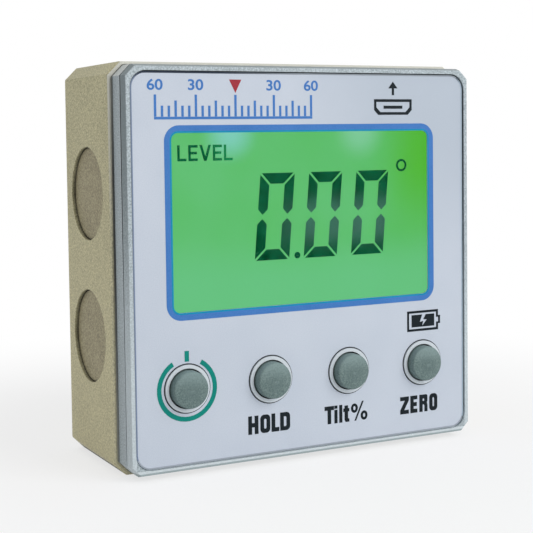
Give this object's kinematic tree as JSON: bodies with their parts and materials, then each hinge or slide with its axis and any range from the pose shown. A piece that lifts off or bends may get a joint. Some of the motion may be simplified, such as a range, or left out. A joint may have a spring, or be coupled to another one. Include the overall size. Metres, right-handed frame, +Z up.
{
  "type": "digital angle gauge",
  "caption": "Square magnetic digital angle gauge: aluminium housing, silver front bezel, backlit display and a row of sprung push buttons.",
  "frame": {"origin": "middle of the base, under the middle of the width and of the whole depth", "axes": "+X to the right seen from the front, the display faces -Y, +Z up"},
  "size_m": [0.057, 0.025, 0.057],
  "materials": {
    "gold_housing": "fine sand-blasted champagne gold",
    "silver_bezel": "satin silver paint",
    "label_film": "printed pale grey film",
    "clear_window": "clear",
    "lcd_glass": "green backlit display",
    "light_guide": "clear acrylic",
    "lamp_yellow": "lamp package",
    "white_plastic": "moulded white",
    "contact_rubber": "elastic contact strip",
    "board_laminate": "green board laminate",
    "button_grey": "satin grey-green",
    "black_plastic": "moulded black",
    "socket_steel": "plated sheet",
    "screw_steel": "zinc plated",
    "magnet_face": "matte plated magnet",
    "seal_rubber": "black seal",
    "cell_foil": "foil pouch",
    "foam_tape": "foam tape",
    "lead_red": "wire insulation",
    "lead_black": "wire insulation",
    "solder_tin": "tinned",
    "chip_black": "moulded package",
    "sensor_brass": "gold-plated lid",
    "capacitor_tan": "ceramic",
    "print_blue": "blue print",
    "print_cyan": "cyan print",
    "print_black": "black print",
    "print_teal": "teal print",
    "print_red": "red print",
    "lcd_segment": "dark display segment"
  },
  "bodies": {
    "case": {"rear_housing": "gold_housing", "front_bezel": "silver_bezel", "case_seal": "seal_rubber", "case_screws": "screw_steel", "front_label": "label_film", "display_window": "clear_window", "lcd_panel": "lcd_glass", "backlight_guide": "light_guide", "backlight_lamps": "lamp_yellow", "display_holder": "white_plastic", "contact_strip": "contact_rubber", "main_board": "board_laminate", "board_screws": "screw_steel", "switch_feet": "solder_tin", "charging_socket": "socket_steel", "socket_tongue": "black_plastic", "battery_cell": "cell_foil", "battery_tape": "foam_tape", "battery_header": "white_plastic", "battery_plug": "white_plastic", "positive_lead": "lead_red", "negative_lead": "lead_black", "processor_chip": "chip_black", "tilt_sensor": "sensor_brass", "charger_chip": "chip_black", "chip_capacitors": "capacitor_tan", "power_switch": "black_plastic", "hold_switch": "black_plastic", "tilt_switch": "black_plastic", "zero_switch": "black_plastic", "left_upper_magnet": "magnet_face", "left_lower_magnet": "magnet_face", "right_upper_magnet": "magnet_face", "right_lower_magnet": "magnet_face", "base_left_magnet": "magnet_face", "base_right_magnet": "magnet_face"},
    "power_key": {"power_button": "button_grey", "power_plunger": "black_plastic"},
    "hold_key": {"hold_button": "button_grey", "hold_plunger": "black_plastic"},
    "tilt_key": {"tilt_button": "button_grey", "tilt_plunger": "black_plastic"},
    "zero_key": {"zero_button": "button_grey", "zero_plunger": "black_plastic"}
  },
  "joints": [
    {"name": "power_press", "type": "slide", "parent": "case", "child": "power_key", "axis": [0, 1, 0], "range_m": [0, 0.0005], "stiffness_N_per_m": 1200},
    {"name": "hold_press", "type": "slide", "parent": "case", "child": "hold_key", "axis": [0, 1, 0], "range_m": [0, 0.0005], "stiffness_N_per_m": 1200},
    {"name": "tilt_press", "type": "slide", "parent": "case", "child": "tilt_key", "axis": [0, 1, 0], "range_m": [0, 0.0005], "stiffness_N_per_m": 1200},
    {"name": "zero_press", "type": "slide", "parent": "case", "child": "zero_key", "axis": [0, 1, 0], "range_m": [0, 0.0005], "stiffness_N_per_m": 1200}
  ]
}
